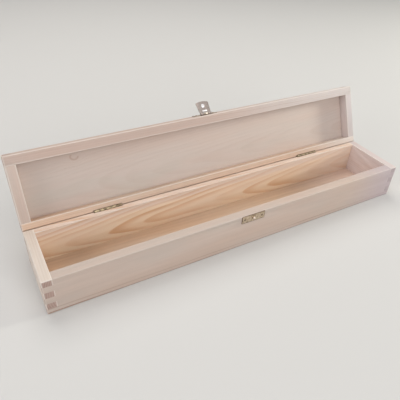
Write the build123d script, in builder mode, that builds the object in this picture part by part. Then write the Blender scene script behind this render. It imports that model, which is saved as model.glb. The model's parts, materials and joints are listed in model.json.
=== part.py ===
from build123d import *
from math import cos, radians, sin, tan
import os

# A long, slim wooden candle box, standing on its underside with the lid open.
# X runs along the box, Y runs from the front to the hinge side and Z is up.
# The origin is the middle of the underside. Sizes are in millimetres and angles in degrees.

# Outside of the box
box_length = 440.0
box_depth = 77.0
base_height = 42.0
lid_height = 18.0

# Boards: the two panels lap into rebates round the walls
wall = 10.0
floor_thickness = 4.0
top_thickness = 6.0
panel_lap = 5.0
panel_clearance = 0.2
base_fingers = 6
lid_fingers = 3
outer_rounding = 1.3
inner_rounding = 0.5

# Lid swing: both back edges are bevelled outwards from the hinge line, and the bevels stop the open lid
open_angle = 114.0
hinge_inset = 3.0
rim_gap = 0.4

# Hinges
hinge_length = 30.0
hinge_end_distance = 86.0
hinge_knuckles = 5
hinge_barrel_radius = 1.5
hinge_knuckle_gap = 0.25
hinge_barrel_clearance = 0.3
hinge_end_clearance = 0.6
leaf_reach = 5.2
leaf_thickness = 0.8
leaf_recess = 0.1
leaf_edge_clearance = 0.1
hinge_pin_radius = 0.65
hinge_pin_overhang = 0.2

# Nails of the hinges, with countersunk heads
hinge_nail_spacing = 18.0
hinge_nail_radius = 0.55
hinge_nail_head_radius = 1.2
hinge_nail_length = 6.0

# Latch plate and catch plate, and their round-headed nails
plate_length = 29.0
plate_height = 9.0
plate_thickness = 0.8
plate_corner = 0.6
catch_rim_distance = 0.2
plate_nail_inset = 3.6
plate_nail_radius = 0.55
plate_nail_head_radius = 1.2
plate_nail_head_height = 0.6
plate_nail_length = 7.0

# Hasp, which hangs on the latch pin
hasp_tip_width = 16.0
hasp_root_width = 13.4
hasp_length = 16.0
hasp_thickness = 0.8
hasp_end_rise = 1.4
hasp_corner = 1.0
hasp_window_depth = 2.4
hasp_groove_distance = 4.2
hasp_groove_length = 6.4
hasp_groove_radius = 1.3
hasp_groove_depth = 0.35
hasp_rest_angle = 118.0
latch_rim_distance = 4.6
latch_barrel_radius = 1.3
latch_barrel_length = 13.4
latch_knuckle_length = 5.8
latch_barrel_lift = 0.1
latch_knuckle_gap = 0.25
latch_notch_height = 2.4
latch_pin_radius = 0.6
latch_pin_overhang = 0.2
dimple_clearance = 0.5
dimple_wall = 0.6

# Catch stud, a ball that the hasp's dimple snaps over, and the slot above it
stud_radius = 1.5
stud_stem_radius = 0.8
stud_depth = 3.0
catch_slot_length = 7.0
catch_slot_width = 1.0
catch_slot_rise = 2.6

# Fits of pins in knuckles and of nails in their holes
pin_clearance = 0.05
nail_clearance = 0.05
nail_tip_clearance = 0.2

# How far a cutter runs past the surface that it cuts
cut_overrun = 1.0

# Hinge line and the lid's turned plane. In each frame's own plane the outer face lies at height 0 and the rim
# faces up, and the hinge side is towards +y on the base and towards -y on the lid.
bevel_angle = radians(open_angle / 2)
open_turn = radians(open_angle)
hinge_line_y = box_depth / 2 - hinge_inset
hinge_line_z = base_height + rim_gap / 2
lid_front_way = Vector(0, -cos(open_turn), sin(open_turn))
lid_rim_way = Vector(0, -sin(open_turn), -cos(open_turn))
lid_origin = (
    Vector(0, hinge_line_y, hinge_line_z)
    + lid_front_way * hinge_line_y
    - lid_rim_way * (lid_height + rim_gap / 2)
)
base_plane = Plane.XY
lid_plane = Plane(origin=lid_origin, x_dir=(1, 0, 0), z_dir=lid_rim_way)
base_hinge_side = 1
lid_hinge_side = -1

# Sizes that follow
cavity_length = box_length - 2 * wall
cavity_depth = box_depth - 2 * wall
rebate_length = cavity_length + 2 * panel_lap
rebate_depth = cavity_depth + 2 * panel_lap
hinge_knuckle_pitch = hinge_length / hinge_knuckles
base_knuckles = range(0, hinge_knuckles, 2)
lid_knuckles = range(1, hinge_knuckles, 2)
hinge_offset = box_length / 2 - hinge_end_distance
leaf_top = -rim_gap / 2 * cos(bevel_angle) - leaf_recess
leaf_bottom = leaf_top - leaf_thickness
leaf_nail_line = (hinge_barrel_radius + hinge_barrel_clearance + leaf_reach) / 2
plate_nail_spacing = plate_length - 2 * plate_nail_inset
latch_pivot_height = latch_barrel_radius + latch_barrel_lift
catch_depth = catch_rim_distance + plate_height / 2
hasp_inner_lift = latch_barrel_radius - hasp_thickness
dimple_distance = latch_rim_distance + rim_gap + catch_depth
dimple_inner_radius = stud_radius + dimple_clearance
stud_height = latch_pivot_height + hasp_inner_lift


# The same plane with its origin moved along its own axes
def shifted(plane, x, y, z):
    return Plane(origin=plane.from_local_coords((x, y, z)), x_dir=plane.x_dir, z_dir=plane.z_dir)


# A plane across a frame's length, whose own x and y are the frame's y and z
def cross_plane(plane, x):
    return Plane(origin=plane.from_local_coords((x, 0, 0)), x_dir=plane.y_dir, z_dir=plane.x_dir)


# A leaf's plane: its origin is on the hinge line, its y runs down the bevel and its z out of the wood
def leaf_plane(plane, height, hinge_side, x):
    outward = plane.y_dir * (hinge_side * sin(bevel_angle)) + plane.z_dir * cos(bevel_angle)
    origin = plane.from_local_coords((x, hinge_side * hinge_line_y, height + rim_gap / 2))
    return Plane(origin=origin, x_dir=plane.x_dir * hinge_side, z_dir=outward)


# The front faces' planes: z points out of the wood and y away from the mating rim's edge or up
latch_plane = Plane(
    origin=lid_plane.from_local_coords((0, box_depth / 2, lid_height - latch_rim_distance)),
    x_dir=lid_plane.x_dir,
    z_dir=lid_plane.y_dir,
)
latch_plate_plane = shifted(latch_plane, 0, plate_height / 2, 0)
pivot_plane = shifted(latch_plane, 0, 0, latch_pivot_height)
catch_plane = Plane(origin=(0, -box_depth / 2, base_height - catch_depth), x_dir=(1, 0, 0), z_dir=(0, -1, 0))

# The hasp's plane: its origin is on the latch pin and its tip points along -y
hasp_turn = radians(hasp_rest_angle)
hasp_plane = Plane(
    origin=pivot_plane.origin,
    x_dir=pivot_plane.x_dir,
    z_dir=pivot_plane.z_dir * cos(hasp_turn) + pivot_plane.y_dir * sin(hasp_turn),
)


# All four walls of a frame as one sanded ring with its bevel, to which each board is trimmed
def wall_ring(plane, height, hinge_side):
    height_axis = Axis(plane.origin, plane.z_dir)
    hinge_side_axis = Axis(plane.origin, plane.y_dir * hinge_side)
    bevel_run = hinge_inset + cut_overrun
    bevel_start = hinge_side * hinge_line_y
    bevel_end = hinge_side * (hinge_line_y + bevel_run)
    with BuildPart() as ring:
        with BuildSketch(plane):
            RectangleRounded(box_length, box_depth, outer_rounding)
            Rectangle(cavity_length, cavity_depth, mode=Mode.SUBTRACT)
        extrude(amount=height)
        with BuildSketch(cross_plane(plane, -box_length / 2)):
            with BuildLine():
                Polyline(
                    (bevel_start, height),
                    (bevel_end, height),
                    (bevel_end, height - bevel_run * tan(bevel_angle)),
                    close=True,
                )
            make_face()
        extrude(amount=box_length, mode=Mode.SUBTRACT)
        outer_face = ring.faces().filter_by(height_axis).sort_by(height_axis)[0]
        fillet(outer_face.outer_wire().edges(), outer_rounding)
        rim_face = ring.faces().filter_by(height_axis).sort_by(height_axis)[-1]
        fillet(rim_face.inner_wires()[0].edges(), inner_rounding)
        rim_face = ring.faces().filter_by(height_axis).sort_by(height_axis)[-1]
        rim_edges = rim_face.outer_wire().edges().sort_by(hinge_side_axis)
        fillet(rim_edges[:-1], outer_rounding)
    return ring.part


# A front or back board. The bands of its ends that belong to the end boards are cut out, and the panel's
# rebate runs along its inside.
def long_board(plane, height, fingers, panel_thickness, side, ring):
    finger = height / fingers
    middle = side * (box_depth - wall) / 2
    with BuildPart() as board:
        with Locations(shifted(plane, 0, middle, height / 2)):
            Box(box_length, wall, height)
        for band in range(1, fingers, 2):
            with Locations(shifted(plane, 0, middle, (band + 0.5) * finger)):
                with GridLocations(box_length - wall, 0, 2, 1):
                    Box(wall, wall, finger, mode=Mode.SUBTRACT)
        with Locations(shifted(plane, 0, 0, panel_thickness / 2)):
            Box(rebate_length, rebate_depth, panel_thickness, mode=Mode.SUBTRACT)
        add(ring, mode=Mode.INTERSECT)
    return board.part


# An end board, with the bands that the long boards leave
def end_board(plane, height, fingers, panel_thickness, side, ring):
    finger = height / fingers
    middle = side * (box_length - wall) / 2
    with BuildPart() as board:
        with Locations(shifted(plane, middle, 0, height / 2)):
            Box(wall, box_depth, height)
        for band in range(0, fingers, 2):
            with Locations(shifted(plane, middle, 0, (band + 0.5) * finger)):
                with GridLocations(0, box_depth - wall, 1, 2):
                    Box(wall, wall, finger, mode=Mode.SUBTRACT)
        with Locations(shifted(plane, 0, 0, panel_thickness / 2)):
            Box(rebate_length, rebate_depth, panel_thickness, mode=Mode.SUBTRACT)
        add(ring, mode=Mode.INTERSECT)
    return board.part


# The floor or the top, let into the rebate and flush with the walls' outer edges
def panel(plane, thickness):
    with BuildPart() as board:
        with Locations(shifted(plane, 0, 0, thickness / 2)):
            Box(rebate_length - 2 * panel_clearance, rebate_depth - 2 * panel_clearance, thickness)
    return board.part


# The room that one hinge takes in a board: the barrel's groove, the leaf's seat and the nails' holes
def hinge_room(leaf):
    room_length = hinge_length + 2 * hinge_end_clearance
    seat_reach = leaf_reach + leaf_edge_clearance
    with BuildPart() as room:
        with Locations(leaf):
            Cylinder(hinge_barrel_radius + hinge_barrel_clearance, room_length, rotation=(0, 90, 0))
        with Locations(shifted(leaf, 0, seat_reach / 2, leaf_bottom / 2)):
            Box(room_length, seat_reach, -leaf_bottom)
        with Locations(shifted(leaf, 0, leaf_nail_line, leaf_top)):
            with GridLocations(hinge_nail_spacing, 0, 2, 1):
                Cylinder(
                    hinge_nail_radius + nail_clearance,
                    hinge_nail_length + nail_tip_clearance,
                    align=(Align.CENTER, Align.CENTER, Align.MAX),
                )
    return room.part


# One leaf with its own knuckles, counted from the leaf's -x end
def hinge_leaf(leaf, own_knuckles):
    leaf_middle = (leaf_top + leaf_bottom) / 2
    knuckle_length = hinge_knuckle_pitch - hinge_knuckle_gap
    link_reach = hinge_barrel_radius + 2 * hinge_barrel_clearance
    with BuildPart() as plate:
        with Locations(shifted(leaf, 0, leaf_reach / 2, leaf_middle)):
            Box(hinge_length, leaf_reach, leaf_thickness)
        with Locations(leaf):
            Cylinder(
                hinge_barrel_radius + hinge_barrel_clearance,
                hinge_length,
                rotation=(0, 90, 0),
                mode=Mode.SUBTRACT,
            )
        for knuckle in own_knuckles:
            x = (knuckle + 0.5) * hinge_knuckle_pitch - hinge_length / 2
            with Locations(shifted(leaf, x, 0, 0)):
                Cylinder(hinge_barrel_radius, knuckle_length, rotation=(0, 90, 0))
            with Locations(shifted(leaf, x, link_reach / 2, leaf_middle)):
                Box(knuckle_length, link_reach, leaf_thickness)
        with Locations(leaf):
            Cylinder(
                hinge_pin_radius + pin_clearance,
                hinge_length,
                rotation=(0, 90, 0),
                mode=Mode.SUBTRACT,
            )
        with Locations(shifted(leaf, 0, leaf_nail_line, leaf_top)):
            with GridLocations(hinge_nail_spacing, 0, 2, 1):
                CounterSinkHole(
                    hinge_nail_radius + nail_clearance,
                    hinge_nail_head_radius + nail_clearance,
                    depth=2 * leaf_thickness,
                    counter_sink_angle=90,
                )
    return plate.part


# The plate that the latch and the catch share, nailed to a front face
def nailed_plate(middle):
    with BuildPart() as plate:
        with BuildSketch(middle):
            RectangleRounded(plate_length, plate_height, plate_corner)
            with GridLocations(plate_nail_spacing, 0, 2, 1):
                Circle(plate_nail_radius + nail_clearance, mode=Mode.SUBTRACT)
        extrude(amount=plate_thickness)
    return plate.part


# The holes of a plate's two nails in the wood behind it
def plate_nail_holes(middle):
    with BuildPart() as holes:
        with Locations(middle):
            with GridLocations(plate_nail_spacing, 0, 2, 1):
                Cylinder(
                    plate_nail_radius + nail_clearance,
                    plate_nail_length - plate_thickness + nail_tip_clearance,
                    align=(Align.CENTER, Align.CENTER, Align.MAX),
                )
    return holes.part


# Hinge pin, from end to end of the barrel
def hinge_pin(leaf):
    with BuildPart() as pin:
        with Locations(leaf):
            Cylinder(hinge_pin_radius, hinge_length + 2 * hinge_pin_overhang, rotation=(0, 90, 0))
    return pin.part


# Copies of one nail at two places in each given plane
def nail_group(nail, planes, spacing):
    with BuildPart() as nails:
        for plane in planes:
            with Locations(plane):
                with GridLocations(spacing, 0, 2, 1):
                    add(nail)
    return nails.part


# Rings of walls
base_ring = wall_ring(base_plane, base_height, base_hinge_side)
lid_ring = wall_ring(lid_plane, lid_height, lid_hinge_side)

# Hinge planes, left and right, on the base and on the lid
base_leaf_planes = {
    "left": leaf_plane(base_plane, base_height, base_hinge_side, -hinge_offset),
    "right": leaf_plane(base_plane, base_height, base_hinge_side, hinge_offset),
}
lid_leaf_planes = {
    "left": leaf_plane(lid_plane, lid_height, lid_hinge_side, -hinge_offset),
    "right": leaf_plane(lid_plane, lid_height, lid_hinge_side, hinge_offset),
}

# Base: front board, with the holes of the catch
with BuildPart() as base_front_board:
    add(long_board(base_plane, base_height, base_fingers, floor_thickness, -base_hinge_side, base_ring))
    add(plate_nail_holes(catch_plane), mode=Mode.SUBTRACT)
    with Locations(catch_plane):
        Cylinder(
            stud_stem_radius + nail_clearance,
            stud_depth + nail_tip_clearance,
            align=(Align.CENTER, Align.CENTER, Align.MAX),
            mode=Mode.SUBTRACT,
        )

# Base: back board, with the hinges' seats
with BuildPart() as base_back_board:
    add(long_board(base_plane, base_height, base_fingers, floor_thickness, base_hinge_side, base_ring))
    for leaf in base_leaf_planes.values():
        add(hinge_room(leaf), mode=Mode.SUBTRACT)

# Base: ends and floor
with BuildPart() as base_left_end:
    add(end_board(base_plane, base_height, base_fingers, floor_thickness, -1, base_ring))

with BuildPart() as base_right_end:
    add(end_board(base_plane, base_height, base_fingers, floor_thickness, 1, base_ring))

with BuildPart() as base_floor:
    add(panel(base_plane, floor_thickness))

# Lid: front rail, with the holes of the latch plate
with BuildPart() as lid_front_rail:
    add(long_board(lid_plane, lid_height, lid_fingers, top_thickness, -lid_hinge_side, lid_ring))
    add(plate_nail_holes(latch_plate_plane), mode=Mode.SUBTRACT)

# Lid: back rail, with the hinges' seats
with BuildPart() as lid_back_rail:
    add(long_board(lid_plane, lid_height, lid_fingers, top_thickness, lid_hinge_side, lid_ring))
    for leaf in lid_leaf_planes.values():
        add(hinge_room(leaf), mode=Mode.SUBTRACT)

# Lid: ends and top
with BuildPart() as lid_left_end:
    add(end_board(lid_plane, lid_height, lid_fingers, top_thickness, -1, lid_ring))

with BuildPart() as lid_right_end:
    add(end_board(lid_plane, lid_height, lid_fingers, top_thickness, 1, lid_ring))

with BuildPart() as lid_top_board:
    add(panel(lid_plane, top_thickness))


# Hinge nail: a countersunk head at the origin over a pointed shank
with BuildPart() as hinge_nail:
    with BuildSketch(Plane.XZ):
        with BuildLine():
            Polyline(
                (0, 0),
                (hinge_nail_head_radius, 0),
                (hinge_nail_radius, hinge_nail_radius - hinge_nail_head_radius),
                (hinge_nail_radius, 2 * hinge_nail_radius - hinge_nail_length),
                (0, -hinge_nail_length),
                close=True,
            )
        make_face()
    revolve(axis=Axis.Z)

hinge_base_nails = nail_group(
    hinge_nail.part,
    [shifted(leaf, 0, leaf_nail_line, leaf_top) for leaf in base_leaf_planes.values()],
    hinge_nail_spacing,
)
hinge_lid_nails = nail_group(
    hinge_nail.part,
    [shifted(leaf, 0, leaf_nail_line, leaf_top) for leaf in lid_leaf_planes.values()],
    hinge_nail_spacing,
)

# Plate nail: a domed head, whose underside is at the origin, over a pointed shank
with BuildPart() as plate_nail:
    with BuildSketch(Plane.XZ):
        with BuildLine():
            TangentArc((0, plate_nail_head_height), (plate_nail_head_radius, 0), tangent=(1, 0))
            Polyline(
                (plate_nail_head_radius, 0),
                (plate_nail_radius, 0),
                (plate_nail_radius, 2 * plate_nail_radius - plate_nail_length),
                (0, -plate_nail_length),
                (0, plate_nail_head_height),
            )
        make_face()
    revolve(axis=Axis.Z)

latch_nails = nail_group(
    plate_nail.part,
    [shifted(latch_plate_plane, 0, 0, plate_thickness)],
    plate_nail_spacing,
)
catch_nails = nail_group(
    plate_nail.part,
    [shifted(catch_plane, 0, 0, plate_thickness)],
    plate_nail_spacing,
)

# Latch plate, whose lower edge is rolled into a knuckle between the hasp's two
hasp_knuckle_length = (latch_barrel_length - latch_knuckle_length) / 2 - latch_knuckle_gap
hasp_knuckle_spacing = latch_barrel_length - hasp_knuckle_length
with BuildPart() as latch_plate:
    add(nailed_plate(latch_plate_plane))
    with Locations(shifted(latch_plane, 0, latch_notch_height / 2, plate_thickness / 2)):
        with GridLocations(hasp_knuckle_spacing, 0, 2, 1):
            Box(
                hasp_knuckle_length + 2 * latch_knuckle_gap,
                latch_notch_height,
                plate_thickness,
                mode=Mode.SUBTRACT,
            )
    with Locations(pivot_plane):
        Cylinder(latch_barrel_radius, latch_knuckle_length, rotation=(0, 90, 0))
        Cylinder(
            latch_pin_radius + pin_clearance,
            latch_knuckle_length,
            rotation=(0, 90, 0),
            mode=Mode.SUBTRACT,
        )

# Latch pin
with BuildPart() as latch_pin:
    with Locations(pivot_plane):
        Cylinder(latch_pin_radius, latch_barrel_length + 2 * latch_pin_overhang, rotation=(0, 90, 0))

# Hasp: a flap with a round end, narrower at the pin, and a window for the plate's knuckle between its own two.
# Its inner face has a short pressed groove and the hollow of the round dimple.
hasp_side_end = hasp_end_rise - hasp_length
with BuildPart() as latch_hasp:
    with BuildSketch(shifted(hasp_plane, 0, 0, hasp_inner_lift)) as hasp_profile:
        with BuildLine():
            Polyline(
                (-hasp_tip_width / 2, hasp_side_end),
                (-hasp_root_width / 2, 0),
                (hasp_root_width / 2, 0),
                (hasp_tip_width / 2, hasp_side_end),
            )
            ThreePointArc(
                (hasp_tip_width / 2, hasp_side_end),
                (0, -hasp_length),
                (-hasp_tip_width / 2, hasp_side_end),
            )
        make_face()
        fillet(hasp_profile.vertices().sort_by(Axis.Y)[:2], hasp_corner)
        with Locations((0, -hasp_window_depth / 2)):
            Rectangle(
                latch_knuckle_length + 2 * latch_knuckle_gap,
                hasp_window_depth,
                mode=Mode.SUBTRACT,
            )
    extrude(amount=hasp_thickness)
    with Locations(hasp_plane):
        with GridLocations(hasp_knuckle_spacing, 0, 2, 1):
            Cylinder(latch_barrel_radius, hasp_knuckle_length, rotation=(0, 90, 0))
        Cylinder(
            latch_pin_radius + pin_clearance,
            latch_barrel_length + 2 * latch_pin_overhang,
            rotation=(0, 90, 0),
            mode=Mode.SUBTRACT,
        )
    with Locations(shifted(hasp_plane, 0, -dimple_distance, hasp_inner_lift)):
        Sphere(
            dimple_inner_radius + dimple_wall,
            arc_size1=0,
            align=(Align.CENTER, Align.CENTER, Align.MIN),
        )
        Sphere(dimple_inner_radius, mode=Mode.SUBTRACT)
    hasp_groove_lift = hasp_inner_lift + hasp_groove_depth - hasp_groove_radius
    with Locations(shifted(hasp_plane, 0, -hasp_groove_distance, hasp_groove_lift)):
        Cylinder(hasp_groove_radius, hasp_groove_length, rotation=(0, 90, 0), mode=Mode.SUBTRACT)

# Catch plate, with the stud's hole and the slot above it
with BuildPart() as catch_plate:
    add(nailed_plate(catch_plane))
    with BuildSketch(catch_plane):
        Circle(stud_stem_radius + nail_clearance)
        with Locations((0, catch_slot_rise)):
            SlotOverall(catch_slot_length, catch_slot_width)
    extrude(amount=plate_thickness, mode=Mode.SUBTRACT)

# Catch stud: a ball seated on the plate, with a stem in the wood
with BuildPart() as catch_stud:
    with Locations(shifted(catch_plane, 0, 0, stud_height)):
        Sphere(stud_radius)
    split(bisect_by=shifted(catch_plane, 0, 0, plate_thickness))
    with Locations(shifted(catch_plane, 0, 0, plate_thickness)):
        Cylinder(
            stud_stem_radius,
            stud_depth + plate_thickness,
            align=(Align.CENTER, Align.CENTER, Align.MAX),
        )

# Each piece is written under its own name
pieces = {
    "base_front_board": base_front_board.part,
    "base_back_board": base_back_board.part,
    "base_left_end": base_left_end.part,
    "base_right_end": base_right_end.part,
    "base_floor": base_floor.part,
    "lid_front_rail": lid_front_rail.part,
    "lid_back_rail": lid_back_rail.part,
    "lid_left_end": lid_left_end.part,
    "lid_right_end": lid_right_end.part,
    "lid_top_board": lid_top_board.part,
    "hinge_base_nails": hinge_base_nails,
    "hinge_lid_nails": hinge_lid_nails,
    "latch_plate": latch_plate.part,
    "latch_pin": latch_pin.part,
    "latch_nails": latch_nails,
    "latch_hasp": latch_hasp.part,
    "catch_plate": catch_plate.part,
    "catch_stud": catch_stud.part,
    "catch_nails": catch_nails,
}
for side in ("left", "right"):
    pieces[f"{side}_hinge_base_leaf"] = hinge_leaf(base_leaf_planes[side], base_knuckles)
    pieces[f"{side}_hinge_lid_leaf"] = hinge_leaf(lid_leaf_planes[side], lid_knuckles)
    pieces[f"{side}_hinge_pin"] = hinge_pin(base_leaf_planes[side])

os.makedirs("parts", exist_ok=True)
for name, piece in pieces.items():
    piece.label = name
    export_step(piece, f"parts/{name}.step")
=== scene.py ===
# A wooden candle box, lid open: pale softwood boards and worn metal fittings. Lengths are in metres.
import json
import math

import bmesh
import bpy
from mathutils import Matrix, Vector


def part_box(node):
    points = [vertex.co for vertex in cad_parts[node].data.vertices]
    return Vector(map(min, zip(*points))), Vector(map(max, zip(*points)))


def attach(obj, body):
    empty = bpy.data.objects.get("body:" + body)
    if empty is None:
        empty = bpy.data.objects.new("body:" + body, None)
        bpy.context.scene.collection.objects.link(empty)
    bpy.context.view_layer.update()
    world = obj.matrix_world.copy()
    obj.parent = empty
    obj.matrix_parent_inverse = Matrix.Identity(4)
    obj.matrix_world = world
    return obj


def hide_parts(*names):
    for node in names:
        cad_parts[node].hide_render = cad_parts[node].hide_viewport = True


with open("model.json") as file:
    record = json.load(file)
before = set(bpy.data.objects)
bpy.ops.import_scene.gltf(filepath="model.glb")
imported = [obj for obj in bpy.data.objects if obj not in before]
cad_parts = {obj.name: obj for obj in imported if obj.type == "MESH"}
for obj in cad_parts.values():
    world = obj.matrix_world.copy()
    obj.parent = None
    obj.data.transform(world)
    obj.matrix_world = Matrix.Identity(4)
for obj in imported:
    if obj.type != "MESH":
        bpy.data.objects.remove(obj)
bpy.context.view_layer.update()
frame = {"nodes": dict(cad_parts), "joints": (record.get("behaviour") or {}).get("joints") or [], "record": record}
scene = bpy.context.scene
print("frame loaded:", len(frame["nodes"]), "nodes")

# The frame holds the lid open. A turn about x brings its boards level again, as they lie on the shut box.
jointOf = {joint["name"]: joint for joint in frame["joints"]}
slotOf = {row["node"]: row["material_slot"] for row in frame["record"]["subparts"]}
hingeLine = Vector(jointOf["lid_hinge"]["pos_m"])
latchPin = Vector(jointOf["hasp_hinge"]["pos_m"])
openAngle = math.radians(max(jointOf["lid_hinge"]["range_deg"]))
lidTurn = openAngle - math.pi
farAway = (9.0, 9.0, 9.0)  # a knot or a mark that lies there shows on nothing


# Shader helpers

def newGroup(name, inputs, outputs):
    group = bpy.data.node_groups.new(name, "ShaderNodeTree")
    for label, kind, value in inputs:
        socket = group.interface.new_socket(label, in_out="INPUT", socket_type=kind)
        if value is not None:
            socket.default_value = value
    for label, kind in outputs:
        group.interface.new_socket(label, in_out="OUTPUT", socket_type=kind)
    return group, group.nodes.new("NodeGroupInput").outputs, group.nodes.new("NodeGroupOutput").inputs


# What the grain and the metal group both give
surfaceOutputs = [
    ("Color", "NodeSocketColor"),
    ("Roughness", "NodeSocketFloat"),
    ("Height", "NodeSocketFloat"),
]


def plug(tree, socket, value):
    if isinstance(value, bpy.types.NodeSocket):
        tree.links.new(value, socket)
    elif value is not None:
        socket.default_value = value


def calc(tree, operation, a, b=None, clamp=False):
    node = tree.nodes.new("ShaderNodeMath")
    node.operation = operation
    node.use_clamp = clamp
    plug(tree, node.inputs[0], a)
    plug(tree, node.inputs[1], b)
    return node.outputs[0]


def plus(tree, a, b, clamp=False):
    return calc(tree, "ADD", a, b, clamp)


def minus(tree, a, b):
    return calc(tree, "SUBTRACT", a, b)


def times(tree, a, b):
    return calc(tree, "MULTIPLY", a, b)


def divided(tree, a, b):
    return calc(tree, "DIVIDE", a, b)


def larger(tree, a, b):
    return calc(tree, "MAXIMUM", a, b)


def smaller(tree, a, b):
    return calc(tree, "MINIMUM", a, b)


def vectorCalc(tree, operation, a, b=None):
    node = tree.nodes.new("ShaderNodeVectorMath")
    node.operation = operation
    plug(tree, node.inputs[0], a)
    plug(tree, node.inputs[1], b)
    return node.outputs["Value" if operation == "LENGTH" else "Vector"]


def splitVector(tree, vector):
    node = tree.nodes.new("ShaderNodeSeparateXYZ")
    tree.links.new(vector, node.inputs[0])
    return node.outputs


def ramp(tree, value, low, high, toLow=0.0, toHigh=1.0, smooth=True):
    node = tree.nodes.new("ShaderNodeMapRange")
    node.interpolation_type = "SMOOTHSTEP" if smooth else "LINEAR"
    plug(tree, node.inputs["Value"], value)
    plug(tree, node.inputs["From Min"], low)
    plug(tree, node.inputs["From Max"], high)
    plug(tree, node.inputs["To Min"], toLow)
    plug(tree, node.inputs["To Max"], toHigh)
    return node.outputs["Result"]


# Noise with about so many waves in a metre along x, y and z. With edges, it turns from the first level to
# the second between those two values of the noise.
def pattern(tree, place, waves, detail=2.0, roughness=0.5, edges=None, levels=(0.0, 1.0)):
    node = tree.nodes.new("ShaderNodeTexNoise")
    plug(tree, node.inputs["Vector"], vectorCalc(tree, "MULTIPLY", place, waves))
    node.inputs["Scale"].default_value = 1.0
    node.inputs["Detail"].default_value = detail
    node.inputs["Roughness"].default_value = roughness
    value = node.outputs["Fac"]
    return ramp(tree, value, *edges, *levels) if edges else value


# The mix node has its two colours at inputs 6 and 7, and the mixed colour at output 2
def mixColour(tree, factor, a, b, blend="MIX"):
    node = tree.nodes.new("ShaderNodeMix")
    node.data_type = "RGBA"
    node.blend_type = blend
    plug(tree, node.inputs[0], factor)
    plug(tree, node.inputs[6], a)
    plug(tree, node.inputs[7], b)
    return node.outputs[2]


def grey(tree, value):
    node = tree.nodes.new("ShaderNodeCombineColor")
    for socket in node.inputs:
        tree.links.new(value, socket)
    return node.outputs[0]


# Joins a group's results to a material's shader, its height as a fine bump
def dressShader(tree, shader, surface, bumpStrength, bumpDepth):
    tree.links.new(surface.outputs["Color"], shader.inputs["Base Color"])
    tree.links.new(surface.outputs["Roughness"], shader.inputs["Roughness"])
    bump = tree.nodes.new("ShaderNodeBump")
    bump.inputs["Strength"].default_value = bumpStrength
    bump.inputs["Distance"].default_value = bumpDepth
    tree.links.new(surface.outputs["Height"], bump.inputs["Height"])
    tree.links.new(bump.outputs["Normal"], shader.inputs["Normal"])


# What the grain of all the boards shares
grain = {
    "longWaves": {"waves": (4.0, 18.0, 18.0), "detail": 1.5},
    "ripples": {"waves": (22.0, 90.0, 90.0), "detail": 1.0},
    "rippleDepth": 0.0012,
    "ringFull": 0.84,
    "ringFade": (0.88, 0.99),
    "faintestRing": 0.3,
    "stretches": {"waves": (9.0, 60.0, 60.0), "detail": 1.0, "edges": (0.35, 0.62), "levels": (0.35, 1.0)},
    "fibre": {"waves": (40.0, 1800.0, 1800.0), "detail": 2.5, "roughness": 0.6},
    "streak": {"waves": (7.0, 280.0, 280.0)},
    "fibreEdges": (0.38, 0.64),
    "flecks": {"waves": (170.0, 2200.0, 2200.0), "detail": 1.0, "edges": (0.66, 0.76)},
    "fleckShade": 0.07,
    "warm": {"waves": (6.0, 40.0, 40.0), "edges": (0.4, 0.66)},
    "cool": {"waves": (9.0, 34.0, 34.0), "edges": (0.42, 0.66)},
    "coolAside": (0.7, 0.3, 0.9),
    "sapWander": 0.6,
    "sapBlend": 0.003,
    "knotShape": (0.8, 0.0, 1.0),
    "knotReach": 4.0,
    "knotPush": 1.6,
    "knotRim": (0.6, 0.9, 1.0, 1.4),
    "knotSlant": 0.5,
    "knotOpen": (0.0005, 0.002),
    "knotShade": 0.45,
    "endFacing": (0.75, 0.95),
    "pores": {"waves": (900.0, 2600.0, 2600.0), "detail": 1.0, "edges": (0.35, 0.7)},
    "ringInEnd": 0.8,
    "poreInEnd": 0.25,
    "arris": (0.0005, 0.0018),
    "arrisWander": 0.0006,
    "arrisTurn": (0.985, 0.85),
    "arrisTurnSheen": 0.2,
    "arrisWearAndSheenColour": (0.8, 0.74, 0.69, 1),
    "roughnessEdges": (0.3, 0.7),
    "roughness": (0.58, 0.74),
    "endRoughness": 0.12,
    "shine": 0.25,
    "bumpStrength": 0.25,
    "bumpDepth": 0.00012,
    "seedStep": (0.61, 0.23, 0.37),
}
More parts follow.
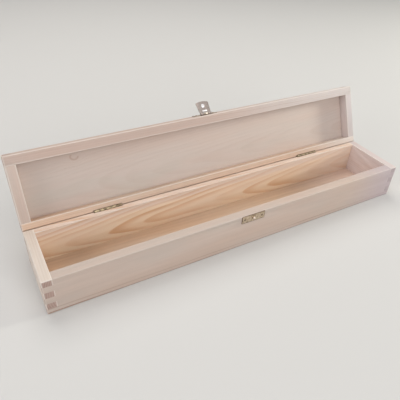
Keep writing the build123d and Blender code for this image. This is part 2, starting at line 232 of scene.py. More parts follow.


# Pale sawn wood, solid all through the board: rings about a pith line that runs along x, fibres, streaks,
# warm and cool stretches, cut ends, arrises paler from rubbing and from a painted highlight, and painted
# light towards the +x end, all worked out in the board's own frame
def makeGrainGroup():
    group, inp, out = newGroup(
        "sawnPaleWood",
        [
            ("Board", "NodeSocketVector", None),
            ("Normal", "NodeSocketVector", None),
            ("Half Size", "NodeSocketVector", (0.2, 0.005, 0.02)),
            ("Seed", "NodeSocketVector", (0.0, 0.0, 0.0)),
            ("Pith Y", "NodeSocketFloat", 0.0),
            ("Pith Z", "NodeSocketFloat", -0.05),
            ("Ring Width", "NodeSocketFloat", 0.003),
            ("Taper", "NodeSocketFloat", 0.02),
            ("Ring Shift", "NodeSocketFloat", 0.0),
            ("Wander", "NodeSocketFloat", 0.004),
            ("Ring Strength", "NodeSocketFloat", 0.3),
            ("Ring Lean", "NodeSocketFloat", 0.0),
            ("Ring Start", "NodeSocketFloat", 0.2),
            ("Fibre Strength", "NodeSocketFloat", 0.03),
            ("Warmth", "NodeSocketFloat", 0.5),
            ("Coolness", "NodeSocketFloat", 0.5),
            ("Sap Height", "NodeSocketFloat", 1.0),
            ("Painted End Light", "NodeSocketFloat", 0.0),
            ("Painted End Light Start", "NodeSocketFloat", -0.3),
            ("Rubbed And Sheen", "NodeSocketFloat", 0.6),
            ("Knot", "NodeSocketVector", farAway),
            ("Knot Size", "NodeSocketFloat", 0.003),
            ("Pale", "NodeSocketColor", (0.6, 0.5, 0.4, 1)),
            ("Warm", "NodeSocketColor", (0.6, 0.4, 0.25, 1)),
            ("Cool", "NodeSocketColor", (0.5, 0.45, 0.4, 1)),
            ("Sap", "NodeSocketColor", (0.66, 0.53, 0.43, 1)),
            ("Ring Colour", "NodeSocketColor", (0.4, 0.25, 0.15, 1)),
            ("End Grain", "NodeSocketColor", (0.4, 0.29, 0.25, 1)),
            ("End Line", "NodeSocketColor", (0.3, 0.2, 0.17, 1)),
        ],
        surfaceOutputs,
    )
    board = inp["Board"]
    place = vectorCalc(group, "ADD", board, inp["Seed"])
    x, y, z = splitVector(group, board)
    halfSize = splitVector(group, inp["Half Size"])

    # Which ring a point lies in, and how far into it
    wobble = times(group, minus(group, pattern(group, place, **grain["longWaves"]), 0.5), inp["Wander"])
    ripple = minus(group, pattern(group, place, **grain["ripples"]), 0.5)
    wobble = plus(group, wobble, times(group, ripple, grain["rippleDepth"]))
    fromPithY = calc(group, "POWER", minus(group, y, inp["Pith Y"]), 2.0)
    fromPithZ = calc(group, "POWER", minus(group, z, inp["Pith Z"]), 2.0)
    radius = calc(group, "SQRT", plus(group, fromPithY, fromPithZ))
    along = plus(group, x, inp["Ring Shift"])
    radius = plus(group, radius, times(group, along, inp["Taper"]))
    radius = plus(group, radius, wobble)
    toKnot = vectorCalc(group, "SUBTRACT", board, inp["Knot"])
    toKnot = vectorCalc(group, "MULTIPLY", toKnot, grain["knotShape"])
    fromKnot = divided(group, vectorCalc(group, "LENGTH", toKnot), inp["Knot Size"])
    aroundKnot = ramp(group, fromKnot, 0.0, grain["knotReach"], grain["knotPush"], 0.0)
    radius = plus(group, radius, times(group, aroundKnot, inp["Knot Size"]))
    ring = divided(group, radius, inp["Ring Width"])
    phase = calc(group, "FRACT", ring)

    # A ring darkens from Ring Start on and fades at its end, in some years more than in others
    year = group.nodes.new("ShaderNodeTexWhiteNoise")
    year.noise_dimensions = "1D"
    plug(group, year.inputs["W"], calc(group, "FLOOR", ring))
    late = ramp(group, phase, inp["Ring Start"], grain["ringFull"])
    late = times(group, late, ramp(group, phase, *grain["ringFade"], 1.0, 0.0))
    yearShade = ramp(group, year.outputs["Value"], 0.0, 1.0, grain["faintestRing"], 1.0, smooth=False)
    late = times(group, late, yearShade)

    # The rings show more in some stretches, and towards the upper or the lower edge
    lean = times(group, divided(group, z, halfSize["Z"]), inp["Ring Lean"])
    lean = minus(group, lean, calc(group, "ABSOLUTE", inp["Ring Lean"]))
    shown = plus(group, lean, 1.0, clamp=True)
    shown = times(group, shown, pattern(group, place, **grain["stretches"]))
    ringShade = times(group, times(group, late, shown), inp["Ring Strength"])

    # Fibres, streaks and short darker flecks, all along the grain
    fibre = pattern(group, place, **grain["fibre"])
    streak = pattern(group, place, **grain["streak"])
    fibres = plus(group, times(group, fibre, 0.5), times(group, streak, 0.5))
    fibres = ramp(group, fibres, *grain["fibreEdges"], -1.0, 1.0, smooth=False)
    flecks = pattern(group, place, **grain["flecks"])

    # Warm and cool stretches, sapwood above a wandering line, and painted light that turns the board paler and
    # cooler towards its +x end
    warm = pattern(group, place, **grain["warm"])
    cool = pattern(group, vectorCalc(group, "ADD", place, grain["coolAside"]), **grain["cool"])
    sapLine = plus(group, z, times(group, wobble, grain["sapWander"]))
    sap = ramp(group, minus(group, sapLine, inp["Sap Height"]), -grain["sapBlend"], grain["sapBlend"])
    colour = mixColour(group, times(group, warm, inp["Warmth"]), inp["Pale"], inp["Warm"])
    colour = mixColour(group, times(group, cool, inp["Coolness"]), colour, inp["Cool"])
    paintedEndLight = ramp(group, divided(group, x, halfSize["X"]), inp["Painted End Light Start"], 1.0)
    paintedEndLight = times(group, paintedEndLight, inp["Painted End Light"])
    colour = mixColour(group, larger(group, sap, paintedEndLight), colour, inp["Sap"])
    colour = mixColour(group, ringShade, colour, inp["Ring Colour"])

    # The knot shows as a hook, a thin round line that is open towards one side
    knotWay = splitVector(group, toKnot)
    rimIn, rimFull, rimFade, rimOut = grain["knotRim"]
    hook = ramp(group, fromKnot, rimIn, rimFull)
    hook = times(group, hook, ramp(group, fromKnot, rimFade, rimOut, 1.0, 0.0))
    openSide = plus(group, times(group, knotWay["X"], grain["knotSlant"]), knotWay["Z"])
    hook = times(group, hook, ramp(group, openSide, *grain["knotOpen"], grain["knotShade"], 0.0))
    colour = mixColour(group, hook, colour, inp["Ring Colour"])

    # Cut ends: the rings as fine lines, and pores
    normalX, normalY, normalZ = splitVector(group, vectorCalc(group, "ABSOLUTE", inp["Normal"]))
    endCut = ramp(group, normalX, *grain["endFacing"])
    pores = pattern(group, place, **grain["pores"])
    endRings = times(group, late, grain["ringInEnd"])
    endLines = plus(group, endRings, times(group, pores, grain["poreInEnd"]), clamp=True)
    colour = mixColour(group, endCut, colour, mixColour(group, endLines, inp["End Grain"], inp["End Line"]))

    # Arrises are paler, partly from rubbing and partly as a painted highlight where the rounded edges catch the
    # light: by how near the board's nearest edge is, and by how the surface turns
    toFaces = vectorCalc(group, "SUBTRACT", inp["Half Size"], vectorCalc(group, "ABSOLUTE", board))
    gapX, gapY, gapZ = splitVector(group, toFaces)
    nearer = smaller(group, gapX, gapY)
    farther = larger(group, gapX, gapY)
    fromArris = larger(group, nearer, smaller(group, farther, gapZ))
    fromArris = plus(group, fromArris, times(group, streak, grain["arrisWander"]))
    rubbedAndSheen = ramp(group, fromArris, *grain["arris"], inp["Rubbed And Sheen"], 0.0)
    squarest = larger(group, normalX, larger(group, normalY, normalZ))
    turnedSheen = ramp(group, squarest, *grain["arrisTurn"], 0.0, grain["arrisTurnSheen"])
    colour = mixColour(group, larger(group, rubbedAndSheen, turnedSheen), colour, grain["arrisWearAndSheenColour"])

    # Fibres and flecks shade the colour, and with the rings they give the bump
    shade = plus(group, 1.0, times(group, fibres, inp["Fibre Strength"]))
    shade = minus(group, shade, times(group, flecks, grain["fleckShade"]))
    colour = mixColour(group, 1.0, colour, grey(group, shade), blend="MULTIPLY")
    plug(group, out["Color"], colour)
    rough = ramp(group, fibre, *grain["roughnessEdges"], *grain["roughness"])
    plug(group, out["Roughness"], plus(group, rough, times(group, endCut, grain["endRoughness"])))
    height = plus(group, times(group, fibres, 0.5), times(group, late, 0.5))
    plug(group, out["Height"], minus(group, height, flecks))
    return group


grainGroup = makeGrainGroup()

# What a board's wood looks like. The pith is where the middle of the tree would be, from the board's middle.
# Ring Lean above 0 shows the rings towards the upper edge, below 0 towards the lower one. Sapwood lies above
# Sap Height. The Sap colour is also painted light towards the board's +x end, for the paler, cooler light on
# the box's right side: from its start on, where the ends are -1 and 1, it grows to its strength at 1.
outerWood = {
    "Pale": (0.60, 0.475, 0.40, 1),
    "Warm": (0.62, 0.44, 0.345, 1),
    "Cool": (0.56, 0.48, 0.42, 1),
    "Sap": (0.64, 0.53, 0.45, 1),
    "Ring Colour": (0.45, 0.29, 0.21, 1),
    "End Grain": (0.475, 0.345, 0.30, 1),
    "End Line": (0.31, 0.205, 0.175, 1),
    "Pith Y": 0.004,
    "Pith Z": -0.045,
    "Ring Width": 0.0028,
    "Taper": 0.02,
    "Ring Shift": 0.0,
    "Wander": 0.006,
    "Ring Strength": 0.25,
    "Ring Lean": 0.0,
    "Ring Start": 0.2,
    "Fibre Strength": 0.035,
    "Warmth": 0.5,
    "Coolness": 0.5,
    "Sap Height": 1.0,
    "Painted End Light": 0.0,
    "Painted End Light Start": -0.3,
    "Rubbed And Sheen": 0.6,
}
frontWood = dict(outerWood, **{
    "Pale": (0.583, 0.470, 0.407, 1),
    "Warm": (0.563, 0.422, 0.344, 1),
    "Cool": (0.531, 0.465, 0.417, 1),
    "Sap": (0.51, 0.43, 0.455, 1),
    "Ring Colour": (0.26, 0.12, 0.07, 1),
    "Pith Z": -0.06,
    "Ring Width": 0.0042,
    "Taper": 0.003,
    "Wander": 0.003,
    "Ring Strength": 1.6,
    "Ring Lean": -2.0,
    "Ring Start": 0.66,
    "Painted End Light": 0.9,
    "Painted End Light Start": 0.6,
    "Rubbed And Sheen": 0.2,
})
backWood = dict(outerWood, **{
    "Pale": (0.860, 0.707, 0.549, 1),
    "Warm": (0.860, 0.609, 0.405, 1),
    "Cool": (0.860, 0.682, 0.549, 1),
    "Sap": (0.79, 0.635, 0.54, 1),
    "Ring Colour": (0.66, 0.37, 0.19, 1),
    "Pith Y": 0.016,
    "Pith Z": -0.003,
    "Ring Width": 0.0038,
    "Taper": -0.075,
    "Ring Shift": 0.049,
    "Wander": 0.024,
    "Ring Strength": 0.75,
    "Warmth": 0.35,
    "Sap Height": 0.0135,
    "Painted End Light": 0.75,
    "Painted End Light Start": 0.4,
    "Rubbed And Sheen": 0.4,
})
leftEndWood = dict(outerWood, **{
    "Pale": (0.706, 0.611, 0.542, 1),
    "Warm": (0.696, 0.569, 0.479, 1),
    "Cool": (0.656, 0.589, 0.531, 1),
    "Pith Y": -0.05,
    "Pith Z": 0.0,
    "Ring Width": 0.0021,
    "Ring Strength": 0.18,
})
# Painted light: the base's right end is paler and cooler than the left one, for the cool light on the box's right
# side
rightEndWood = dict(outerWood, **{
    "Pale": (0.724, 0.626, 0.608, 1),
    "Warm": (0.724, 0.593, 0.550, 1),
    "Cool": (0.662, 0.605, 0.608, 1),
    "End Grain": (0.50, 0.42, 0.43, 1),
    "End Line": (0.46, 0.38, 0.39, 1),
    "Taper": 0.0,
    "Wander": 0.0015,
})
floorWood = dict(outerWood, **{
    "Pale": (0.685, 0.503, 0.366, 1),
    "Warm": (0.663, 0.435, 0.289, 1),
    "Cool": (0.651, 0.503, 0.399, 1),
    "Sap": (0.88, 0.70, 0.60, 1),
    "Ring Colour": (0.42, 0.27, 0.18, 1),
    "Pith Y": 0.06,
    "Pith Z": -0.02,
    "Ring Strength": 0.3,
    "Painted End Light": 0.9,
    "Painted End Light Start": 0.35,
})
railWood = dict(outerWood, **{
    "Pith Y": -0.04,
    "Pith Z": 0.0,
    "Ring Width": 0.0022,
    "Ring Strength": 0.4,
})
lidFrontWood = dict(railWood, **{
    "Pale": (0.577, 0.445, 0.388, 1),
    "Warm": (0.577, 0.411, 0.338, 1),
    "Cool": (0.546, 0.460, 0.420, 1),
    "Sap": (0.70, 0.635, 0.61, 1),
    "Ring Start": 0.4,
    "Painted End Light": 0.95,
})
lidBackWood = dict(railWood, **{
    "Pale": (0.704, 0.521, 0.405, 1),
    "Warm": (0.715, 0.489, 0.353, 1),
    "Cool": (0.653, 0.526, 0.430, 1),
    "Sap": (0.74, 0.65, 0.59, 1),
    "Painted End Light": 1.0,
    "Painted End Light Start": 0.5,
})
lidEndWood = dict(leftEndWood, **{
    "Pale": (0.609, 0.506, 0.453, 1),
    "Warm": (0.609, 0.465, 0.396, 1),
    "Cool": (0.568, 0.495, 0.458, 1),
})
# Painted light: a paler, cooler copy of the lid's end wood, for the cool light on the box's right side
lidRightWood = dict(lidEndWood, **{
    "Pale": (0.678, 0.602, 0.588, 1),
    "Warm": (0.678, 0.566, 0.530, 1),
    "Cool": (0.626, 0.587, 0.588, 1),
})
lidPanelWood = dict(outerWood, **{
    "Pale": (0.653, 0.557, 0.504, 1),
    "Warm": (0.653, 0.520, 0.453, 1),
    "Cool": (0.601, 0.551, 0.492, 1),
    "Pith Y": -0.022,
    "Pith Z": -0.012,
    "Ring Width": 0.0026,
    "Taper": -0.05,
    "Wander": 0.014,
    "Ring Strength": 0.13,
    "Fibre Strength": 0.022,
    "Rubbed And Sheen": 0.0,
})
knot = {"board": "lidTopBoard", "at": (-0.1538, 0.0703, 0.0908), "size": 0.0032}  # on the open lid's inside


# Where a board lies: the turn that brings it into its own frame, its middle there and half its size
def boardFrame(node, body, isPanel, alongY):
    toBoard = Matrix.Rotation(lidTurn if body == "lid" else 0.0, 3, "X")
    if isPanel:
        toBoard = Matrix.Rotation(math.radians(90), 3, "X") @ toBoard
    if alongY:
        toBoard = Matrix.Rotation(math.radians(-90), 3, "Z") @ toBoard
    corners = [toBoard @ vertex.co for vertex in frame["nodes"][node].data.vertices]
    low = Vector([min(corner[axis] for corner in corners) for axis in range(3)])
    high = Vector([max(corner[axis] for corner in corners) for axis in range(3)])
    return toBoard, (low + high) / 2, (high - low) / 2


def woodMaterial(name, wood, seed, toBoard, middle, halfSize):
    material = bpy.data.materials.new(name + "Wood")
    material.use_nodes = True
    tree = material.node_tree
    shader = tree.nodes["Principled BSDF"]
    shader.inputs["Specular IOR Level"].default_value = grain["shine"]
    source = tree.nodes.new("ShaderNodeTexCoord")
    place = tree.nodes.new("ShaderNodeMapping")
    place.inputs["Rotation"].default_value = toBoard.to_euler("XYZ")
    place.inputs["Location"].default_value = -middle
    tree.links.new(source.outputs["Object"], place.inputs["Vector"])
    way = tree.nodes.new("ShaderNodeMapping")
    way.vector_type = "NORMAL"
    way.inputs["Rotation"].default_value = toBoard.to_euler("XYZ")
    tree.links.new(source.outputs["Normal"], way.inputs["Vector"])
    surface = tree.nodes.new("ShaderNodeGroup")
    surface.node_tree = grainGroup
    tree.links.new(place.outputs[0], surface.inputs["Board"])
    tree.links.new(way.outputs[0], surface.inputs["Normal"])
    surface.inputs["Half Size"].default_value = halfSize
    surface.inputs["Seed"].default_value = [step * seed for step in grain["seedStep"]]
    if name == knot["board"]:
        surface.inputs["Knot"].default_value = toBoard @ Vector(knot["at"]) - middle
        surface.inputs["Knot Size"].default_value = knot["size"]
    for label, value in wood.items():
        surface.inputs[label].default_value = value
    dressShader(tree, shader, surface, grain["bumpStrength"], grain["bumpDepth"])
    return material


# Eased edges: how wide they are, how near points are one point or lie on a plane, and by how many degrees a
# surface turns where its faces are one, where its edge is eased and where its shading stays smooth
easing = {
    "board": 0.00018,
    "metal": 0.00007,
    "segments": 2,
    "onePoint": 1e-6,
    "onPlane": 1e-7,
    "oneFace": 0.5,
    "easedAbove": 40,
    "smoothBelow": 30,
}

# The bevels at the hinge line are planed back a little, so that a dark seam stays between base and open lid
seamDepth = 0.0006
bevelWay = Vector((0.0, math.sin(openAngle / 2), math.cos(openAngle / 2)))


def planeBack(work, body):
    outward = bevelWay if body == "base" else -bevelWay
    everything = work.verts[:] + work.edges[:] + work.faces[:]
    cut = bmesh.ops.bisect_plane(work, geom=everything, dist=easing["onPlane"], clear_outer=True,
                                 plane_co=hingeLine - outward * seamDepth, plane_no=outward)
    rims = [item for item in cut["geom_cut"] if isinstance(item, bmesh.types.BMEdge) and item.is_boundary]
    if rims:
        bmesh.ops.holes_fill(work, edges=rims, sides=0)
        bmesh.ops.recalc_face_normals(work, faces=work.faces)


def turnAt(edge):
    return edge.calc_face_angle() if len(edge.link_faces) == 2 else 0.0


# A copy of a node's mesh with its doubles merged, its flat faces whole and its sharp edges eased. Normals
# that came with the mesh no longer fit it, so they go.
def easedPiece(name, node, ease, material, body, isBoard=False):
    mesh = frame["nodes"][node].data.copy()
    mesh.name = name
    if mesh.has_custom_normals:
        mesh.attributes.remove(mesh.attributes["custom_normal"])
    work = bmesh.new()
    work.from_mesh(mesh)
    bmesh.ops.remove_doubles(work, verts=work.verts, dist=easing["onePoint"])
    oneFace = math.radians(easing["oneFace"])
    bmesh.ops.dissolve_limit(work, angle_limit=oneFace, verts=work.verts, edges=work.edges)
    if isBoard:
        planeBack(work, body)
    sharp = [edge for edge in work.edges if turnAt(edge) > math.radians(easing["easedAbove"])]
    bmesh.ops.bevel(work, geom=sharp, offset=ease, offset_type="OFFSET", segments=easing["segments"],
                    profile=0.5, affect="EDGES", clamp_overlap=True, material=-1)
    for face in work.faces:
        face.smooth = True
    for edge in work.edges:
        edge.smooth = turnAt(edge) < math.radians(easing["smoothBelow"])
    work.to_mesh(mesh)
    work.free()
    mesh.materials.clear()
    mesh.materials.append(material)
    piece = bpy.data.objects.new(name, mesh)
    scene.collection.objects.link(piece)
    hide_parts(node)
    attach(piece, body)


# Each board: its node, its body, its wood, whether it is a panel and whether it runs from front to back
boards = {
    "frontBoard": ("base_front_board", "base", frontWood, False, False),
    "backBoard": ("base_back_board", "base", backWood, False, False),
    "leftEnd": ("base_left_end", "base", leftEndWood, False, True),
    "rightEnd": ("base_right_end", "base", rightEndWood, False, True),
    "floorBoard": ("base_floor", "base", floorWood, True, False),
    "lidFrontRail": ("lid_front_rail", "lid", lidFrontWood, False, False),
    "lidBackRail": ("lid_back_rail", "lid", lidBackWood, False, False),
    "lidLeftEnd": ("lid_left_end", "lid", lidEndWood, False, True),
    "lidRightEnd": ("lid_right_end", "lid", lidRightWood, False, True),
    "lidTopBoard": ("lid_top_board", "lid", lidPanelWood, True, False),
}
for seed, (name, (node, body, wood, isPanel, alongY)) in enumerate(boards.items()):
    material = woodMaterial(name, wood, seed, *boardFrame(node, body, isPanel, alongY))
    slot = "panel_board" if isPanel else "wall_board"
    easedPiece(name, node, easing["board"], material, body, isBoard=True)
print("boards dressed:", len(boards))


# What all the metal shares
metalWearAndSheen = {
    "clouds": {"waves": (330.0, 330.0, 330.0), "detail": 3.0, "edges": (0.38, 0.66)},
    "specks": {"waves": (2600.0, 2600.0, 2600.0), "detail": 1.0, "edges": (0.62, 0.74)},
    "scratches": {"waves": (260.0, 5200.0, 5200.0), "roughness": 0.6},
    "speckShare": 0.6,
    "speckColour": (0.09, 0.07, 0.05, 1),
    "edge": (0.0001, 0.0007),
    "edgeWander": -0.0003,
    "edgeShadeColour": (0.16, 0.11, 0.08, 1),
    "longHighlightFade": 0.0006,
    "longHighlightHalf": (0.0007, 0.0012),
    "roundHighlightRim": (0.7, 1.2),
    "highlightShare": 0.95,
    "dullRoughness": 0.78,
    "polishShare": 0.6,
    "tarnishRoughness": 0.25,
    "scratchEdges": (0.35, 0.7),
    "scratchRoughness": (-0.05, 0.08),
    "bumpStrength": 0.3,
    "bumpDepth": 0.00004,
}


# Worn metal: clouds of tarnish, dark specks and fine scratches, with painted shade at the edges and painted
# highlights
def makeMetalGroup():
    group, inp, out = newGroup(
        "metalWearAndSheen",
        [
            ("Place", "NodeSocketVector", None),
            ("Clean", "NodeSocketColor", (0.6, 0.5, 0.3, 1)),
            ("Tarnished", "NodeSocketColor", (0.3, 0.24, 0.14, 1)),
            ("Tarnish", "NodeSocketFloat", 0.6),
            ("Polish", "NodeSocketFloat", 0.6),
            ("Middle", "NodeSocketVector", (0.0, 0.0, 0.0)),
            ("Half Size", "NodeSocketVector", (1.0, 1.0, 1.0)),
            ("Painted Edge Shade", "NodeSocketFloat", 0.0),
            ("Round Highlight", "NodeSocketVector", farAway),
            ("Round Highlight Size", "NodeSocketFloat", 0.0015),
            ("Long Highlight", "NodeSocketVector", farAway),
            ("Long Highlight Reach", "NodeSocketFloat", 0.003),
            ("Highlight Colour", "NodeSocketColor", (0.95, 0.94, 0.95, 1)),
        ],
        surfaceOutputs,
    )
    place = inp["Place"]
    clouds = pattern(group, place, **metalWearAndSheen["clouds"])
    specks = pattern(group, place, **metalWearAndSheen["specks"])
    scratches = pattern(group, place, **metalWearAndSheen["scratches"])
    dull = times(group, clouds, inp["Tarnish"])
    colour = mixColour(group, dull, inp["Clean"], inp["Tarnished"])
    spotted = times(group, specks, times(group, inp["Tarnish"], metalWearAndSheen["speckShare"]))
    colour = mixColour(group, spotted, colour, metalWearAndSheen["speckColour"])
    # Painted shade: the face darkens towards its ends and its upper and lower edges
    fromMiddle = vectorCalc(group, "ABSOLUTE", vectorCalc(group, "SUBTRACT", place, inp["Middle"]))
    gap = splitVector(group, vectorCalc(group, "SUBTRACT", inp["Half Size"], fromMiddle))
    edge = plus(group, smaller(group, gap["X"], gap["Z"]), times(group, clouds, metalWearAndSheen["edgeWander"]))
    edge = ramp(group, edge, *metalWearAndSheen["edge"], inp["Painted Edge Shade"], 0.0)
    colour = mixColour(group, edge, colour, metalWearAndSheen["edgeShadeColour"])

    # Painted highlights: a round one, and a long one that runs along x
    fromRound = vectorCalc(group, "LENGTH", vectorCalc(group, "SUBTRACT", place, inp["Round Highlight"]))
    fromRound = divided(group, fromRound, inp["Round Highlight Size"])
    fromLong = vectorCalc(group, "SUBTRACT", place, inp["Long Highlight"])
    alongX = calc(group, "ABSOLUTE", splitVector(group, fromLong)["X"])
    fadedOut = plus(group, inp["Long Highlight Reach"], metalWearAndSheen["longHighlightFade"])
    alongX = ramp(group, alongX, inp["Long Highlight Reach"], fadedOut, 1.0, 0.0)
    acrossX = vectorCalc(group, "LENGTH", vectorCalc(group, "MULTIPLY", fromLong, (0.0, 1.0, 1.0)))
    longHighlight = times(group, alongX, ramp(group, acrossX, *metalWearAndSheen["longHighlightHalf"], 1.0, 0.0))
    paintedHighlight = larger(group, longHighlight, ramp(group, fromRound, *metalWearAndSheen["roundHighlightRim"], 1.0, 0.0))
    colour = mixColour(group, times(group, paintedHighlight, metalWearAndSheen["highlightShare"]), colour, inp["Highlight Colour"])
    plug(group, out["Color"], colour)

    # Tarnish and scratches roughen what is polished
    polished = times(group, inp["Polish"], metalWearAndSheen["polishShare"])
    rough = minus(group, metalWearAndSheen["dullRoughness"], polished)
    rough = plus(group, rough, times(group, dull, metalWearAndSheen["tarnishRoughness"]))
    scratched = ramp(group, scratches, *metalWearAndSheen["scratchEdges"], *metalWearAndSheen["scratchRoughness"],
                     smooth=False)
    plug(group, out["Roughness"], plus(group, rough, scratched, clamp=True))
    plug(group, out["Height"], minus(group, scratches, times(group, specks, 0.5)))
    return group


metalGroup = makeMetalGroup()

# Painted highlights sit on the hasp in its dimple and its groove, and on the plate behind it in the middle of its
# knuckle. All three are measured from the latch pin, as the hasp stands in the frame.
haspHighlights = {
    "tipWay": (0.0, 0.788, 0.616),
    "hollowWay": (0.0, 0.616, -0.788),
    "dimple": 0.0107,
    "dimpleDepth": 0.0015,
    "groove": 0.0042,
    "knuckle": (0.0004, -0.001, 0.0008),
}
tipWay = Vector(haspHighlights["tipWay"])
hollowWay = Vector(haspHighlights["hollowWay"])
dimpleAt = latchPin + tipWay * haspHighlights["dimple"] + hollowWay * haspHighlights["dimpleDepth"]
grooveAt = latchPin + tipWay * haspHighlights["groove"]
knuckleAt = latchPin + Vector(haspHighlights["knuckle"])
catchLow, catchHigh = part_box("catch_plate")

# What a fitting's metal looks like
hingeBrass = {
    "Clean": (0.36, 0.29, 0.19, 1),
    "Tarnished": (0.15, 0.11, 0.07, 1),
    "Tarnish": 0.9,
    "Polish": 0.7,
}
plateBrass = {
    "Clean": (0.60, 0.49, 0.37, 1),
    "Tarnished": (0.42, 0.33, 0.23, 1),
    "Tarnish": 0.8,
    "Polish": 0.55,
}
haspNickel = {
    "Clean": (0.325, 0.275, 0.25, 1),
    "Tarnished": (0.23, 0.19, 0.17, 1),
    "Tarnish": 0.6,
    "Polish": 0.8,
    "Round Highlight": dimpleAt,
    "Round Highlight Size": 0.0022,
    "Long Highlight": grooveAt,
    "Long Highlight Reach": 0.0026,
}
latchPlateBrass = {
    "Clean": (0.36, 0.31, 0.25, 1),
    "Tarnished": (0.24, 0.20, 0.16, 1),
    "Tarnish": 0.7,
    "Polish": 0.6,
    "Highlight Colour": (0.95, 0.85, 0.74, 1),
    "Long Highlight": knuckleAt,
    "Long Highlight Reach": 0.0006,
}
catchBrass = dict(plateBrass, **{
    "Middle": (catchLow + catchHigh) / 2,
    "Half Size": (catchHigh - catchLow) / 2,
    "Painted Edge Shade": 0.75,
})
nailBrass = {
    "Clean": (0.22, 0.17, 0.12, 1),
    "Tarnished": (0.13, 0.10, 0.07, 1),
    "Tarnish": 0.7,
    "Polish": 0.6,
}
studSteel = {
    "Clean": (0.66, 0.56, 0.47, 1),
    "Tarnished": (0.45, 0.36, 0.28, 1),
    "Tarnish": 0.3,
    "Polish": 0.85,
}


def metalMaterial(name, metal):
    material = bpy.data.materials.new(name)
    material.use_nodes = True
    tree = material.node_tree
    shader = tree.nodes["Principled BSDF"]
    shader.inputs["Metallic"].default_value = 1.0
    source = tree.nodes.new("ShaderNodeTexCoord")
    surface = tree.nodes.new("ShaderNodeGroup")
    surface.node_tree = metalGroup
    tree.links.new(source.outputs["Object"], surface.inputs["Place"])
    for label, value in metal.items():
        surface.inputs[label].default_value = value
    dressShader(tree, shader, surface, metalWearAndSheen["bumpStrength"], metalWearAndSheen["bumpDepth"])
    return material


# The metal of each slot, and of the nodes that have their own
metalOfSlot = {
    "hinge_brass": metalMaterial("hingeBrass", hingeBrass),
    "latch_brass": metalMaterial("plateBrass", plateBrass),
    "hasp_nickel": metalMaterial("haspNickel", haspNickel),
}
metalOfNode = {
    "latch_plate": metalMaterial("latchPlateBrass", latchPlateBrass),
    "catch_plate": metalMaterial("catchBrass", catchBrass),
    "latch_nails": metalMaterial("nailBrass", nailBrass),
    "catch_stud": metalMaterial("studSteel", studSteel),
}
metalOfNode["catch_nails"] = metalOfNode["latch_nails"]

easedMetal = {
    "leftHingeBaseLeaf": ("left_hinge_base_leaf", "base"),
    "leftHingeLidLeaf": ("left_hinge_lid_leaf", "lid"),
    "rightHingeBaseLeaf": ("right_hinge_base_leaf", "base"),
    "rightHingeLidLeaf": ("right_hinge_lid_leaf", "lid"),
    "latchPlate": ("latch_plate", "lid"),
    "catchPlate": ("catch_plate", "base"),
    "latchHasp": ("latch_hasp", "hasp"),
}
for name, (node, body) in easedMetal.items():
    slot = slotOf[node]
    easedPiece(name, node, easing["metal"], metalOfNode.get(node, metalOfSlot[slot]), body)

# Pins, nails and the stud stay as the frame has them, and get their metal
eased = [node for node, body in easedMetal.values()]
for node, slot in slotOf.items():
    if slot in metalOfSlot and node not in eased:
        mesh = frame["nodes"][node].data
        mesh.materials.clear()
        mesh.materials.append(metalOfNode.get(node, metalOfSlot[slot]))
print("metal dressed:", len(eased), "eased pieces")


# Stage

paleFloor = {
    "halfSize": 2.4,
    "colour": (0.66, 0.655, 0.65, 1),
    "roughness": 0.9,
}


def makeFloor():
    mesh = bpy.data.meshes.new("studioFloor")
    work = bmesh.new()
    bmesh.ops.create_grid(work, x_segments=1, y_segments=1, size=paleFloor["halfSize"])
    work.to_mesh(mesh)
    work.free()
    floor = bpy.data.objects.new("studioFloor", mesh)
    scene.collection.objects.link(floor)
    material = bpy.data.materials.new("paleFloor")
    material.use_nodes = True
    shader = material.node_tree.nodes["Principled BSDF"]
    shader.inputs["Base Color"].default_value = paleFloor["colour"]
    shader.inputs["Roughness"].default_value = paleFloor["roughness"]
    mesh.materials.append(material)


makeFloor()

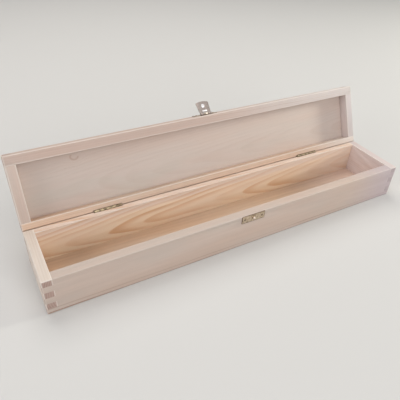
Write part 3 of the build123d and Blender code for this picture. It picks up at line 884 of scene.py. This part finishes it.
# Each lamp stands off the target, in its own way and at its own distance, and shines back at it. The air
# lights softly, and looks brighter in reflections and behind the box.
studio = {
    "target": (0.0, 0.02, 0.04),
    "airColour": (1.0, 1.0, 1.0, 1),
    "airLight": 0.16,
    "airSeen": 0.85,
    "lamps": {
        "keyFromRight": {
            "way": (0.87, -0.123, 0.225),
            "distance": 1.8,
            "size": 0.25,
            "power": 15.0,
            "colour": (1.0, 0.98, 0.86),
        },
        "softRight": {
            "way": (0.75, -0.35, 0.75),
            "distance": 1.8,
            "size": 1.4,
            "power": 2.0,
            "colour": (0.9, 0.96, 1.0),
        },
        "softFront": {
            "way": (0.0, -0.9, 0.45),
            "distance": 2.0,
            "size": 1.2,
            "power": 16.5,
            "colour": (1.0, 0.99, 0.98),
        },
        "softLeft": {
            "way": (-0.95, -0.1, 0.4),
            "distance": 1.8,
            "size": 1.0,
            "power": 11.0,
            "colour": (1.0, 0.99, 0.98),
        },
        "softTop": {
            "way": (0.0, 0.0, 1.0),
            "distance": 1.6,
            "size": 1.6,
            "power": 3.5,
            "colour": (0.93, 0.97, 1.0),
        },
        "highBack": {
            "way": (0.0, 0.5, 0.9),
            "distance": 1.6,
            "size": 1.2,
            "power": 13.0,
            "colour": (1.0, 0.95, 0.88),
        },
    },
}


def makeAir():
    world = bpy.data.worlds.new("studioAir")
    scene.world = world
    world.use_nodes = True
    tree = world.node_tree
    background = tree.nodes["Background"]
    background.inputs["Color"].default_value = studio["airColour"]
    path = tree.nodes.new("ShaderNodeLightPath")
    seen = larger(tree, path.outputs["Is Camera Ray"], path.outputs["Is Glossy Ray"])
    strength = ramp(tree, seen, 0.0, 1.0, studio["airLight"], studio["airSeen"], smooth=False)
    plug(tree, background.inputs["Strength"], strength)


def makeLamp(name, lamp):
    data = bpy.data.lights.new(name, "AREA")
    data.shape = "SQUARE"
    data.size = lamp["size"]
    data.energy = lamp["power"]
    data.color = lamp["colour"]
    holder = bpy.data.objects.new(name, data)
    scene.collection.objects.link(holder)
    way = Vector(lamp["way"]).normalized()
    holder.location = Vector(studio["target"]) + way * lamp["distance"]
    holder.rotation_euler = way.to_track_quat("Z", "Y").to_euler()


makeAir()
for name, lamp in studio["lamps"].items():
    makeLamp(name, lamp)

# The photograph's camera: where it stands, how it is turned in degrees, its lens and sensor in millimetres
view = {
    "place": (-0.23618, -0.32028, 0.32432),
    "heading": -30.973,
    "pitch": -36.492,
    "roll": 3.332,
    "lens": 39.171,
    "sensor": 36.0,
    "nearest": 0.01,
}


def makeCamera():
    data = bpy.data.cameras.new("photoCamera")
    data.sensor_fit = "HORIZONTAL"
    data.sensor_width = view["sensor"]
    data.lens = view["lens"]
    data.clip_start = view["nearest"]
    camera = bpy.data.objects.new("photoCamera", data)
    scene.collection.objects.link(camera)
    heading, pitch, roll = (math.radians(view[key]) for key in ("heading", "pitch", "roll"))
    turn = (
        Matrix.Rotation(heading, 4, "Z")
        @ Matrix.Rotation(math.radians(90) + pitch, 4, "X")
        @ Matrix.Rotation(roll, 4, "Z")
    )
    camera.matrix_world = Matrix.Translation(view["place"]) @ turn
    scene.camera = camera


makeCamera()
scene.view_settings.view_transform = "Standard"
print("studio and camera set")
